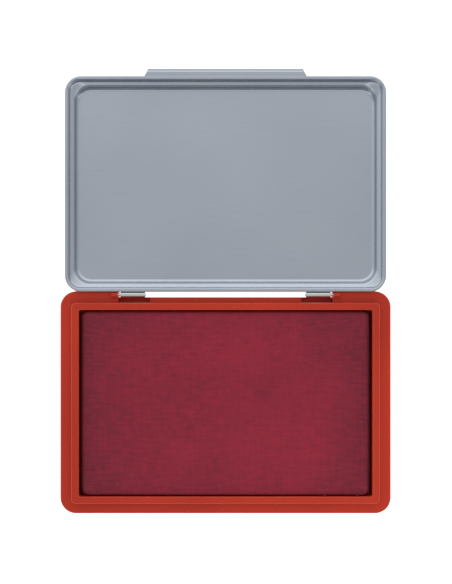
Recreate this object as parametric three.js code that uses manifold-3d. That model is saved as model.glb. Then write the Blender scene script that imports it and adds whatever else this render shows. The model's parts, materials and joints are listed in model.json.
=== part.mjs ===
// Ink pad in a hinged tin: a moulded tray holds a cloth-covered felt pad, and a pressed sheet-metal
// lid swings on two short pins at the rear. The lid is laid open, flat beside the tray, and a turn of
// +180 degrees about the hinge axis closes it.
// Millimetres, +Z up, +X along the hinge, +Y towards the hinge. The origin is the middle of the
// tray's underside.
import * as THREE from "three";
import { mergeVertices } from "three/addons/utils/BufferGeometryUtils.js";
import Module from "manifold-3d";

// Tray: the opening for the pad, the upstand around it, and the lower ledge around that.
const WELL_LENGTH = 110.2;
const WELL_WIDTH = 70;
const WELL_CORNER = 0.8;
const WELL_FLOOR = 2;
const UPSTAND_END_WALL = 2.9;
const UPSTAND_SIDE_WALL = 2.75;
const UPSTAND_RISE = 2.8;
const UPSTAND_CORNER = 1.8;
const UPSTAND_EDGE = 0.35;
const LEDGE_HEIGHT = 8;
const LEDGE_END = 4.35;
const LEDGE_FRONT = 4;
const TRAY_CORNER = 6;
const TRAY_EDGE = 0.4;
const SKIRT = 1.8;
const RIB = 2;
const FRONT_POCKETS = 7;
const END_POCKETS = 5;

// Pad: a backing board, a felt block and a woven cover, loose in the opening.
const PAD_END_GAP = 1.4;
const PAD_SIDE_GAP = 0.5;
const PAD_BELOW_UPSTAND = 0.5;
const PAD_CORNER = 2.2;
const PAD_EDGE = 1;
const LAYER_GAP = 0.1;
const CLOTH = 0.4;
const BOARD = 1.2;

// Lid: a rolled rim, an upper wall, a shoulder and a raised panel, pressed from one sheet.
const LID_SHEET = 0.4;
const LID_CORNER = 6.2;
const RIM_WIDTH = 1.4;
const RIM_EDGE = 0.35;
const SHOULDER_DEPTH = 4.7;
const SHOULDER_WIDTH = 1.9;
const PANEL_CORNER = 6;
const PANEL_FILLET = 1.5;
const LIP_LENGTH = 58.3;
const LIP_TAPER = 1.35;
const LIP_REACH = 2.8;
const LIP_TURN = 1.2;

// Fits between lid and tray.
const LID_END_CLEARANCE = 1.1;
const LID_FRONT_CLEARANCE = 2.5;
const LID_REAR_CLEARANCE = 0.4;
const LID_CORNER_CLEARANCE = 0.1;
const LID_CLOSED_GAP = 0.25;
const LID_OPEN_GAP = 0.4;

// Hinge: a pin pressed into a lug at each end of the rear recess, and a steel leaf rolled around it.
const HINGE_FROM_END = 27.45;
const HINGE_INSET = 1.4;
const PIN_RADIUS = 0.5;
const PIN_PRESS_GAP = 0.03;
const PIN_BURIED = 2.1;
const PIN_PAST_KNUCKLE = 0.3;
const LUG_WALL = 0.4;
const LUG_LENGTH = 2.5;
const LUG_TO_RIM = 0.25;
const LEAF_SHEET = 0.4;
const LEAF_GAP = 0.1;
const LEAF_UNDER_RIM = 0.35;
const LEAF_TAIL = 2.6;
const KNUCKLE_LENGTH = 9.25;
const KNUCKLE_CLEARANCE = 0.08;
const KNUCKLE_END_GAP = 0.95;
const KNUCKLE_WRAP = THREE.MathUtils.degToRad(285);
const RECESS_DEPTH = 2.35;
const POCKET_MARGIN = 1.8;
const POCKET_FLOOR = 3;

// Segments: a corner arc has twice this many, and a turned piece has this many all round.
const CORNER_SEGMENTS = 6;
const ROUND_SEGMENTS = 24;
const EDGE_SEGMENTS = 2;
const FILLET_SEGMENTS = 4;

// A cut runs this far past the face that it opens, and a cut across a whole piece is this wide.
const OVERCUT = 1;
const WIDE = 500;

// Places that follow from the sizes above.
const upstandLength = WELL_LENGTH + 2 * UPSTAND_END_WALL;
const upstandWidth = WELL_WIDTH + 2 * UPSTAND_SIDE_WALL;
const upstandTop = LEDGE_HEIGHT + UPSTAND_RISE;
const lugRadius = PIN_RADIUS + LUG_WALL;
const axisToRim = lugRadius + LUG_TO_RIM;
const ledgeRear = HINGE_INSET + axisToRim + RIM_WIDTH + LID_REAR_CLEARANCE;
const trayLength = upstandLength + 2 * LEDGE_END;
const trayWidth = upstandWidth + LEDGE_FRONT + ledgeRear;
const trayRear = trayWidth / 2;
const upstandY = (LEDGE_FRONT - ledgeRear) / 2;
const upstandRear = upstandY + upstandWidth / 2;

const lidDepth = LEDGE_HEIGHT + RIM_WIDTH + LID_OPEN_GAP;
const lidLength = upstandLength + 2 * (LID_END_CLEARANCE + RIM_WIDTH);
const lidWidth = upstandWidth + LID_REAR_CLEARANCE + LID_FRONT_CLEARANCE + 2 * RIM_WIDTH;
// The largest corner radius of the lid's wall that still clears the upstand's round corners.
const cornerRoom =
  LID_END_CLEARANCE + LID_REAR_CLEARANCE - LID_CORNER_CLEARANCE +
  Math.sqrt(
    2 * (LID_END_CLEARANCE - LID_CORNER_CLEARANCE) * (LID_REAR_CLEARANCE - LID_CORNER_CLEARANCE),
  );
const lidWallCorner = UPSTAND_CORNER + cornerRoom;
const axisY = trayRear - HINGE_INSET;
const axisZ = (LEDGE_HEIGHT + LID_CLOSED_GAP + lidDepth) / 2;
const lidY = axisY + axisToRim + lidWidth / 2;

const hingeX = trayLength / 2 - HINGE_FROM_END;
const lugFaceX = hingeX + KNUCKLE_LENGTH / 2 + KNUCKLE_END_GAP;
const pocketInnerX = hingeX - KNUCKLE_LENGTH / 2 - POCKET_MARGIN;

const wasm = await Module();
wasm.setup();

// A closed geometry as a solid that can be joined and cut.
function solidOf(geometry) {
  const bare = geometry.clone();
  bare.deleteAttribute("normal");
  bare.deleteAttribute("uv");
  const merged = mergeVertices(bare, 1e-4);
  return new wasm.Manifold(
    new wasm.Mesh({
      numProp: 3,
      vertProperties: merged.attributes.position.array,
      triVerts: new Uint32Array(merged.index.array),
    }),
  );
}

// The geometry of a solid, with flat faces.
function geometryOf(solid) {
  const { vertProperties, triVerts } = solid.getMesh();
  const indexed = new THREE.BufferGeometry();
  indexed.setAttribute("position", new THREE.BufferAttribute(new Float32Array(vertProperties), 3));
  indexed.setIndex(new THREE.BufferAttribute(new Uint32Array(triVerts), 1));
  const flat = indexed.toNonIndexed();
  flat.computeVertexNormals();
  return flat;
}

// A rectangle with round corners, centred on the origin.
function roundedRectangle(length, width, radius) {
  const x = length / 2 - radius;
  const y = width / 2 - radius;
  const corners = [
    [x, y],
    [-x, y],
    [-x, -y],
    [x, -y],
  ];
  const shape = new THREE.Shape();
  corners.forEach(([cx, cy], i) => {
    shape.absarc(cx, cy, radius, (i * Math.PI) / 2, ((i + 1) * Math.PI) / 2, false);
  });
  return shape;
}

// A shape drawn in the horizontal plane, raised from one height to another. The edge is the radius
// that rounds both its top and its bottom outline.
function slab(shape, low, high, edge = 0, edgeSegments = EDGE_SEGMENTS) {
  const geometry = new THREE.ExtrudeGeometry(shape, {
    depth: high - low - 2 * edge,
    curveSegments: CORNER_SEGMENTS,
    bevelEnabled: edge > 0,
    bevelThickness: edge,
    bevelSize: edge,
    bevelOffset: -edge,
    bevelSegments: edgeSegments,
  });
  return solidOf(geometry.translate(0, 0, low + edge));
}

function block(low, high) {
  const size = new THREE.Vector3().subVectors(high, low);
  const middle = new THREE.Vector3().addVectors(high, low).multiplyScalar(0.5);
  return solidOf(new THREE.BoxGeometry(...size).translate(...middle));
}

// All of the space between two heights.
function layerOfSpace(low, high) {
  return block(new THREE.Vector3(-WIDE, -WIDE, low), new THREE.Vector3(WIDE, WIDE, high));
}

// A dish with a rounded bottom edge and a square-cut top.
function dish(shape, low, high, fillet) {
  const whole = slab(shape, low, high + 2 * fillet, fillet, FILLET_SEGMENTS);
  return whole.subtract(layerOfSpace(high, high + WIDE));
}

// A shape drawn in (Y, Z), extruded along X and centred on X = 0.
function alongX(shape, length) {
  const toYZ = new THREE.Matrix4().makeBasis(
    new THREE.Vector3(0, 1, 0),
    new THREE.Vector3(0, 0, 1),
    new THREE.Vector3(1, 0, 0),
  );
  return new THREE.ExtrudeGeometry(shape, { depth: length, bevelEnabled: false })
    .translate(0, 0, -length / 2)
    .applyMatrix4(toYZ);
}

// A round bar along X between two X values, on the line through (y, z).
function barAlongX(radius, fromX, toX, y, z) {
  return new THREE.CylinderGeometry(radius, radius, toX - fromX, ROUND_SEGMENTS)
    .rotateZ(Math.PI / 2)
    .translate((fromX + toX) / 2, y, z);
}

// The outline of a sheet of even thickness bent along an open row of points.
function bentSheet(points, thickness) {
  const last = points.length - 1;
  const normalAfter = (i) => {
    const along = points[i + 1].clone().sub(points[i]).normalize();
    return new THREE.Vector2(-along.y, along.x);
  };
  const mitres = points.map((_, i) => {
    const before = normalAfter(Math.max(i - 1, 0));
    const after = normalAfter(Math.min(i, last - 1));
    return before.clone().add(after).divideScalar(1 + before.dot(after));
  });
  const side = (offset) => points.map((p, i) => p.clone().addScaledVector(mitres[i], offset));
  return new THREE.Shape([...side(thickness / 2), ...side(-thickness / 2).reverse()]);
}

function joined(solids) {
  return solids.reduce((whole, piece) => whole.add(piece));
}

function mesh(name, geometry, material) {
  const made = new THREE.Mesh(geometry, material);
  made.name = name;
  return made;
}

// Hollows moulded into the underside between the outer skirt and the wall of the well, with ribs
// left between them. They stop short of the round corners and of the hinge recess.
function undersidePockets() {
  const top = LEDGE_HEIGHT - SKIRT;
  const wallX = upstandLength / 2;
  const skirtX = trayLength / 2 - SKIRT;
  const skirtY = trayWidth / 2 - SKIRT;
  const endX = trayLength / 2 - TRAY_CORNER;
  const endY = trayWidth / 2 - TRAY_CORNER;
  const pocket = (x0, x1, y0, y1) =>
    block(new THREE.Vector3(x0, y0, -OVERCUT), new THREE.Vector3(x1, y1, top));
  const row = (from, to, count, make) => {
    const pitch = (to - from + RIB) / count;
    return Array.from({ length: count }, (_, i) => {
      const start = from + i * pitch;
      return make(start, start + pitch - RIB);
    });
  };
  const wallY = upstandY - upstandWidth / 2;
  const front = row(-endX, endX, FRONT_POCKETS, (a, b) => pocket(a, b, -skirtY, wallY));
  const right = row(-endY, endY, END_POCKETS, (a, b) => pocket(wallX, skirtX, a, b));
  const left = row(-endY, endY, END_POCKETS, (a, b) => pocket(-skirtX, -wallX, a, b));
  const rearFrom = lugFaceX + LUG_LENGTH;
  const rear = [
    pocket(rearFrom, endX, upstandRear, skirtY),
    pocket(-endX, -rearFrom, upstandRear, skirtY),
  ];
  return [...front, ...right, ...left, ...rear];
}

// A lug that stands on the ledge beside the recess and takes one pin.
function hingeLug(side) {
  const innerX = side * lugFaceX;
  const outerX = side * (lugFaceX + LUG_LENGTH);
  const [fromX, toX] = side > 0 ? [innerX, outerX] : [outerX, innerX];
  const foot = block(
    new THREE.Vector3(fromX, axisY - lugRadius, LEDGE_HEIGHT - SKIRT / 2),
    new THREE.Vector3(toX, axisY + lugRadius, axisZ),
  );
  return foot.add(solidOf(barAlongX(lugRadius, fromX, toX, axisY, axisZ)));
}

function pinBore(side) {
  const radius = PIN_RADIUS + PIN_PRESS_GAP;
  const mouth = lugFaceX - OVERCUT;
  const end = lugFaceX + PIN_BURIED + PIN_PRESS_GAP;
  const [fromX, toX] = side > 0 ? [mouth, end] : [-end, -mouth];
  return solidOf(barAlongX(radius, fromX, toX, axisY, axisZ));
}

// A deeper pocket behind each knuckle, open to the recess and closed below.
function knucklePocket(side) {
  const [fromX, toX] = side > 0 ? [pocketInnerX, lugFaceX] : [-lugFaceX, -pocketInnerX];
  return block(
    new THREE.Vector3(fromX, upstandRear, POCKET_FLOOR),
    new THREE.Vector3(toX, trayRear, upstandTop + OVERCUT),
  );
}

function makeTray(material) {
  const foot = slab(
    roundedRectangle(trayLength, trayWidth, TRAY_CORNER), 0, LEDGE_HEIGHT, TRAY_EDGE,
  );
  const upstand = slab(
    roundedRectangle(upstandLength, upstandWidth, UPSTAND_CORNER), 0, upstandTop, UPSTAND_EDGE,
  ).translate([0, upstandY, 0]);
  const well = slab(
    roundedRectangle(WELL_LENGTH, WELL_WIDTH, WELL_CORNER), WELL_FLOOR, upstandTop + OVERCUT,
  ).translate([0, upstandY, 0]);
  const recess = block(
    new THREE.Vector3(-lugFaceX, trayRear - RECESS_DEPTH, -OVERCUT),
    new THREE.Vector3(lugFaceX, trayRear + OVERCUT, upstandTop + OVERCUT),
  );
  const body = joined([foot, upstand, hingeLug(-1), hingeLug(1)]);
  const cuts = joined([
    well,
    recess,
    ...undersidePockets(),
    ...[-1, 1].flatMap((side) => [knucklePocket(side), pinBore(side)]),
  ]);
  return mesh("base_tray", geometryOf(body.subtract(cuts)), material);
}

// The pad stack, from the floor of the well upwards: board, felt, then the cover over both.
function makePad(boardMaterial, feltMaterial, clothMaterial) {
  const length = WELL_LENGTH - 2 * PAD_END_GAP;
  const width = WELL_WIDTH - 2 * PAD_SIDE_GAP;
  const bottom = WELL_FLOOR + LAYER_GAP;
  const top = upstandTop - PAD_BELOW_UPSTAND;
  const inset = CLOTH + LAYER_GAP;
  const layer = (shrink, low, high, edge) =>
    slab(
      roundedRectangle(length - 2 * shrink, width - 2 * shrink, PAD_CORNER - shrink), low, high, edge,
    );
  const boardTop = bottom + BOARD;
  const board = layer(inset, bottom, boardTop, 0);
  const felt = layer(inset, boardTop + LAYER_GAP, top - inset, PAD_EDGE - inset);
  const outside = layer(0, bottom - PAD_EDGE, top, PAD_EDGE);
  const inside = layer(CLOTH, bottom - 2 * PAD_EDGE, top - CLOTH, PAD_EDGE - CLOTH);
  const cover = outside.subtract(inside).subtract(layerOfSpace(-WIDE, bottom));

  const pad = new THREE.Group();
  pad.add(mesh("pad_backing", geometryOf(board), boardMaterial));
  pad.add(mesh("pad_felt", geometryOf(felt), feltMaterial));
  pad.add(mesh("pad_cloth", geometryOf(cover), clothMaterial));
  pad.position.y = upstandY;
  return pad;
}

// The thumb lip: at the middle of the front the rim runs out flat and its edge turns over.
function thumbLip() {
  const top = lidDepth - LID_SHEET / 2;
  const rimY = lidWidth / 2;
  const edgeY = rimY + LIP_REACH - LID_SHEET / 2;
  const line = [
    new THREE.Vector2(rimY - RIM_WIDTH / 2, top),
    new THREE.Vector2(edgeY, top),
    new THREE.Vector2(edgeY, top - LIP_TURN),
  ];
  const flange = solidOf(alongX(bentSheet(line, LID_SHEET), LIP_LENGTH + 2 * LIP_TAPER));
  const half = LIP_LENGTH / 2;
  const outline = new THREE.Shape([
    new THREE.Vector2(-half - LIP_TAPER, rimY - RIM_WIDTH),
    new THREE.Vector2(half + LIP_TAPER, rimY - RIM_WIDTH),
    new THREE.Vector2(half + LIP_TAPER, rimY),
    new THREE.Vector2(half, rimY + LIP_REACH),
    new THREE.Vector2(-half, rimY + LIP_REACH),
    new THREE.Vector2(-half - LIP_TAPER, rimY),
  ]);
  return flange.intersect(slab(outline, 0, lidDepth + OVERCUT));
}

function makeLidShell(material) {
  const inset = (distance, radius) =>
    roundedRectangle(lidLength - 2 * distance, lidWidth - 2 * distance, radius);
  const panelInset = RIM_WIDTH + SHOULDER_WIDTH;
  const shoulderZ = lidDepth - SHOULDER_DEPTH;
  const rimLow = lidDepth - RIM_WIDTH;

  const outerWall = inset(RIM_WIDTH - LID_SHEET, lidWallCorner + LID_SHEET);
  const outerPanel = inset(panelInset - LID_SHEET, PANEL_CORNER + LID_SHEET);
  const outside = joined([
    dish(outerWall, shoulderZ - LID_SHEET, lidDepth - RIM_EDGE, LID_SHEET),
    dish(outerPanel, 0, shoulderZ, PANEL_FILLET + LID_SHEET),
    slab(inset(0, LID_CORNER), rimLow, lidDepth, RIM_EDGE),
    thumbLip(),
  ]);
  const inside = slab(inset(RIM_WIDTH, lidWallCorner), shoulderZ, lidDepth + OVERCUT).add(
    dish(inset(panelInset, PANEL_CORNER), LID_SHEET, shoulderZ + OVERCUT, PANEL_FILLET),
  );
  return mesh("lid_shell", geometryOf(outside.subtract(inside)), material);
}

// A leaf in the hinge's own frame, whose X axis is the pin: a tail that lies against the outside of
// the lid's rear wall, an arm that passes under the rim, and the roll around the pin.
function leafGeometry() {
  const rollRadius = PIN_RADIUS + KNUCKLE_CLEARANCE + LEAF_SHEET / 2;
  const wallY = axisToRim + RIM_WIDTH - LID_SHEET;
  const bendY = wallY - LEAF_GAP - LEAF_SHEET / 2;
  const bendZ = lidDepth - RIM_WIDTH - axisZ - LEAF_UNDER_RIM - LEAF_SHEET / 2;
  const reach = Math.hypot(bendY, bendZ);
  const tangent = Math.atan2(bendZ, bendY) - Math.acos(rollRadius / reach);
  const line = new THREE.Path();
  line.moveTo(bendY, bendZ - LEAF_TAIL);
  line.lineTo(bendY, bendZ);
  line.absarc(0, 0, rollRadius, tangent, tangent - KNUCKLE_WRAP, true);
  return alongX(bentSheet(line.getPoints(ROUND_SEGMENTS / 2), LEAF_SHEET), KNUCKLE_LENGTH);
}

function makeLeaves(material) {
  const geometry = leafGeometry();
  return [["left", -1], ["right", 1]].map(([name, side]) => {
    const leaf = mesh(`hinge_leaf_${name}`, geometry, material);
    leaf.position.set(side * hingeX, axisY, axisZ);
    return leaf;
  });
}

function makePins(material) {
  const innerEnd = hingeX - KNUCKLE_LENGTH / 2 - PIN_PAST_KNUCKLE;
  const geometry = barAlongX(PIN_RADIUS, innerEnd, lugFaceX + PIN_BURIED, 0, 0);
  return [["left", Math.PI], ["right", 0]].map(([name, turn]) => {
    const pin = mesh(`hinge_pin_${name}`, geometry, material);
    pin.position.set(0, axisY, axisZ);
    pin.rotation.z = turn;
    return pin;
  });
}

const redPlastic = new THREE.MeshStandardMaterial({ color: 0xad3a2c, roughness: 0.35, metalness: 0 });
const lidMetal = new THREE.MeshStandardMaterial({ color: 0x989ba7, roughness: 0.4, metalness: 0.8 });
const bareSteel = new THREE.MeshStandardMaterial({ color: 0xb8b9b6, roughness: 0.3, metalness: 1 });
const inkedCloth = new THREE.MeshStandardMaterial({ color: 0x7e2a38, roughness: 0.85, metalness: 0 });
const inkedFelt = new THREE.MeshStandardMaterial({ color: 0x5e1a28, roughness: 1, metalness: 0 });
const greyBoard = new THREE.MeshStandardMaterial({ color: 0x8a8378, roughness: 0.9, metalness: 0 });

const tray = new THREE.Group();
tray.add(makeTray(redPlastic), makePad(greyBoard, inkedFelt, inkedCloth), ...makePins(bareSteel));

const lidShell = makeLidShell(lidMetal);
lidShell.position.y = lidY;
const lid = new THREE.Group();
lid.add(lidShell, ...makeLeaves(bareSteel));

const inkPad = new THREE.Group();
inkPad.add(tray, lid);

export default inkPad;
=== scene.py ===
"""Ink pad in a hinged tin: a moulded red tray, a cloth-covered pad and a pressed sheet-metal lid.

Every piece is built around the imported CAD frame, in metres: +X along the hinge, +Y from the front of
the tray to the hinge, +Z up out of the pad. The lid lies open, flat beside the tray.
"""

import json
import logging
import math
from collections.abc import Iterable, Iterator, Sequence
from contextlib import contextmanager
from dataclasses import dataclass, field
from enum import Enum

import bmesh
import bpy
from mathutils import Matrix, Vector, noise


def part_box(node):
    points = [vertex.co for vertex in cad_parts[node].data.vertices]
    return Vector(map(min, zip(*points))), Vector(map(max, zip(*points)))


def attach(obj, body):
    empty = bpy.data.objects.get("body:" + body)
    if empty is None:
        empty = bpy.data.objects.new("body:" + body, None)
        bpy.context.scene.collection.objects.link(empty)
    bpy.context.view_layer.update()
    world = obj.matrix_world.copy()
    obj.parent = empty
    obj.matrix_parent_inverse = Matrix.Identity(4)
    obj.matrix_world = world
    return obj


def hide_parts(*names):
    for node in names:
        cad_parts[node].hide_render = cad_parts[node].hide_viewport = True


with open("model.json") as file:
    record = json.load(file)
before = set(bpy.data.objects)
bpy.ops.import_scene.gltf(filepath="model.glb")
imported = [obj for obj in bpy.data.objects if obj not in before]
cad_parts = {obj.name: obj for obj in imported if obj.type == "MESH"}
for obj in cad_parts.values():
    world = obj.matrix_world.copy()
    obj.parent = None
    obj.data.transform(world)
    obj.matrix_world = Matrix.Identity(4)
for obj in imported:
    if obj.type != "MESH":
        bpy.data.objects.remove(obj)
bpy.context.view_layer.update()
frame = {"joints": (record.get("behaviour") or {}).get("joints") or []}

Mesh = bmesh.types.BMesh
Edge = bmesh.types.BMEdge
Piece = bpy.types.Object
NodeTree = bpy.types.NodeTree
Inputs = bpy.types.NodeInputs
Socket = bpy.types.NodeSocket
Value = float | tuple[float, ...] | Socket
Triple = tuple[float, float, float]
Rgb = Triple
Span = tuple[float, float]

MM = 0.001
BRIDGE_STEP = 10 * MM
WELD = 0.001 * MM
TINY = 1e-6
SQUARE_FOLD = 60.0
log = logging.getLogger("ink_pad")


class Side(Enum):
    """The two ends of the hinge."""

    LEFT = -1
    RIGHT = 1

    @property
    def word(self) -> str:
        """The side's name as it stands in piece names."""
        return self.name.lower()

    def span(self, one: float, other: float) -> list[float]:
        """Two distances from the middle as places along X on this side, the lower one first."""
        return sorted((self.value * one, self.value * other))


class Cut(Enum):
    """What a boolean does with its second solid."""

    JOIN = "UNION"
    REMOVE = "DIFFERENCE"


# --- Mesh work ---


@dataclass(frozen=True)
class Outline:
    """A rectangle with round corners, level, at one height.

    Attributes:
        length: Its size along X.
        width: Its size along Y.
        corner: The radius of its corners.
        middle_y: The Y of its middle.
        z: Its height.
        edge: How much of the edge wear its points show, from 0 to 1.
    """

    length: float
    width: float
    corner: float
    middle_y: float
    z: float = 0.0
    edge: float = 0.0

    def drawn_in(self, inset: float, z: float, edge: float = 0.0) -> "Outline":
        """The same outline at another height, with its sides drawn in, or out if the inset is negative."""
        length, width = self.length - 2 * inset, self.width - 2 * inset
        return Outline(length, width, self.corner - inset, self.middle_y, z, edge)

    def ring(self, bm: Mesh, corner_steps: int) -> list[Edge]:
        """Adds the outline to a mesh as a closed ring of edges, with some segments in each corner."""
        size = Matrix.Diagonal((self.length / 2, self.width / 2, 1, 1))
        place = Matrix.Translation((0, self.middle_y, self.z)) @ size
        made = bmesh.ops.create_grid(bm, x_segments=1, y_segments=1, size=1, matrix=place)
        points = bmesh.ops.bevel(
            bm, geom=made["verts"], offset=self.corner, offset_type="OFFSET", segments=corner_steps,
            profile=0.5, affect="VERTICES", material=-1,
        )["verts"]
        edge_layer = bm.verts.layers.float.get("edge")
        for point in points:
            point[edge_layer] = self.edge
        face = next(f for f in points[0].link_faces if len(f.verts) == len(points))
        edges = list(face.edges)
        bmesh.ops.delete(bm, geom=[face], context="FACES_ONLY")
        return edges


def quarter_arc(steps: int) -> list[Span]:
    """Points of a quarter circle of radius 1, from (1, 0) to (0, 1), both ends included."""
    turn = math.pi / 2 / steps
    return [(math.cos(i * turn), math.sin(i * turn)) for i in range(steps + 1)]


def new_mesh() -> Mesh:
    """An empty mesh whose points carry the edge wear."""
    bm = bmesh.new()
    bm.verts.layers.float.new("edge")
    return bm


@contextmanager
def opened(mesh: bpy.types.Mesh) -> Iterator[Mesh]:
    """A stored mesh, open for changes that are written back at the end."""
    bm = bmesh.new()
    bm.from_mesh(mesh)
    yield bm
    bm.to_mesh(mesh)
    bm.free()


def set_height(ring: Sequence[Edge], z: float) -> None:
    """Moves a ring of edges to one height."""
    for point in {v for edge in ring for v in edge.verts}:
        point.co.z = z


def loft(outlines: Sequence[Outline], corner_steps: int, capped: bool) -> Mesh:
    """A surface through a row of outlines.

    Args:
        outlines: The outlines, in order along the surface.
        corner_steps: The segments in each round corner.
        capped: Whether the first outline is closed with a face, as the last one always is.

    Returns:
        The mesh, with its faces pointing outwards.
    """
    bm = new_mesh()
    rings = [outline.ring(bm, corner_steps) for outline in outlines]
    # Level rings have no order along Z, so they are bridged one above another and then lowered.
    for level, ring in enumerate(rings):
        set_height(ring, level * BRIDGE_STEP)
    for lower, upper in zip(rings, rings[1:]):
        bmesh.ops.bridge_loops(bm, edges=lower + upper)
    for outline, ring in zip(outlines, rings):
        set_height(ring, outline.z)
    if capped:
        bmesh.ops.edgeloop_fill(bm, edges=rings[0])
    bmesh.ops.edgeloop_fill(bm, edges=rings[-1])
    bmesh.ops.recalc_face_normals(bm, faces=bm.faces)
    return bm


def round_edges(bm: Mesh, edges: Iterable[Edge], radius: float, steps: int) -> None:
    """Rounds some edges of a mesh."""
    bmesh.ops.bevel(
        bm, geom=list(edges), offset=radius, segments=steps, profile=0.5, affect="EDGES",
        clamp_overlap=False, material=-1,
    )


def sharp_edges(bm: Mesh, angle: float) -> list[Edge]:
    """The edges whose two faces turn by more than an angle, in degrees."""
    limit = math.radians(angle)
    return [e for e in bm.edges if len(e.link_faces) == 2 and e.calc_face_angle() > limit]


def block(low: Vector, high: Vector, rounding: float = 0.0, steps: int = 2) -> Mesh:
    """A box between two corners, with all its edges rounded if a rounding is given."""
    bm = new_mesh()
    place = Matrix.Translation((low + high) / 2) @ Matrix.Diagonal((*(high - low), 1))
    bmesh.ops.create_cube(bm, size=1, matrix=place)
    if rounding > 0:
        round_edges(bm, bm.edges, rounding, steps)
    return bm


def bar_along_x(radius: float, ends: Sequence[float], axis: Vector, steps: int) -> Mesh:
    """A round bar along X between two ends, on the line through a point of its axis."""
    bm = new_mesh()
    middle = Matrix.Translation(((ends[0] + ends[1]) / 2, axis.y, axis.z))
    place = middle @ Matrix.Rotation(math.pi / 2, 4, "Y")
    depth = ends[1] - ends[0]
    bmesh.ops.create_cone(
        bm, cap_ends=True, segments=steps, radius1=radius, radius2=radius, depth=depth, matrix=place
    )
    return bm


def pull(bm: Mesh, strip: Sequence[Edge], move: Vector, taper: float = 0.0) -> list[Edge]:
    """Draws a strip of sheet on from its free edge, with its ends in by a taper; gives the new edge."""
    pulled = bmesh.ops.extrude_edge_only(bm, edges=strip)["geom"]
    points = [g for g in pulled if isinstance(g, bmesh.types.BMVert)]
    bmesh.ops.translate(bm, verts=points, vec=move)
    for point in points:
        point.co.x -= math.copysign(taper, point.co.x)
    return [g for g in pulled if isinstance(g, Edge) and all(v in points for v in g.verts)]


def put_in_scene(name: str, data: bpy.types.ID) -> Piece:
    """Puts a mesh, curve, light or camera in the scene as an object at the origin."""
    made = bpy.data.objects.new(name, data)
    bpy.context.scene.collection.objects.link(made)
    return made


def to_object(bm: Mesh, name: str) -> Piece:
    """Puts a finished mesh in the scene, and frees the bmesh."""
    mesh = bpy.data.meshes.new(name)
    bm.to_mesh(mesh)
    bm.free()
    return put_in_scene(name, mesh)


def settle(piece: Piece) -> None:
    """Applies all modifiers of a piece to its mesh."""
    graph = bpy.context.evaluated_depsgraph_get()
    graph.update()
    done = bpy.data.meshes.new_from_object(piece.evaluated_get(graph), depsgraph=graph)
    piece.modifiers.clear()
    old, name = piece.data, piece.name
    piece.data = done
    bpy.data.meshes.remove(old)
    done.name = name


def thicken(piece: Piece, sheet: float) -> None:
    """Gives a bare surface the thickness of a metal sheet, half on each side."""
    thick = piece.modifiers.new("sheet", "SOLIDIFY")
    thick.thickness = sheet
    thick.offset = 0
    thick.use_even_offset = True
    settle(piece)


def combine(piece: Piece, tool: Mesh, cut: Cut) -> None:
    """Joins a second solid to a piece, or removes it from the piece."""
    tool.normal_update()
    other = to_object(tool, f"{piece.name}_tool")
    boolean = piece.modifiers.new("cut", "BOOLEAN")
    boolean.operation = cut.value
    boolean.solver = "EXACT"
    boolean.object = other
    settle(piece)
    bpy.data.objects.remove(other)


def smooth(piece: Piece) -> None:
    """Shades all of a piece smooth."""
    piece.data.polygons.foreach_set("use_smooth", [True] * len(piece.data.polygons))


def shade(piece: Piece, angle: float = 40.0) -> None:
    """Shades a piece smooth below an angle, with normals weighted to its large faces."""
    smooth(piece)
    piece.data.set_sharp_from_angle(angle=math.radians(angle))
    piece.modifiers.new("weighted_normals", "WEIGHTED_NORMAL").keep_sharp = True


def dress(piece: Piece, finish: "Finish", body: str, *replaced: str) -> None:
    """Gives a piece its finish and its body, and hides the CAD nodes that it stands for."""
    piece.data.materials.clear()
    piece.data.materials.append(finish.material)
    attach(piece, body)
    if replaced:
        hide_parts(*replaced)
    log.info("%s: %d faces, rides on %s", piece.name, len(piece.data.polygons), body)


# --- Node work ---

MIDDLE = (0.3, 0.7)  # where most values of a noise lie
WHOLE = (0.0, 1.0)


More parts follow.
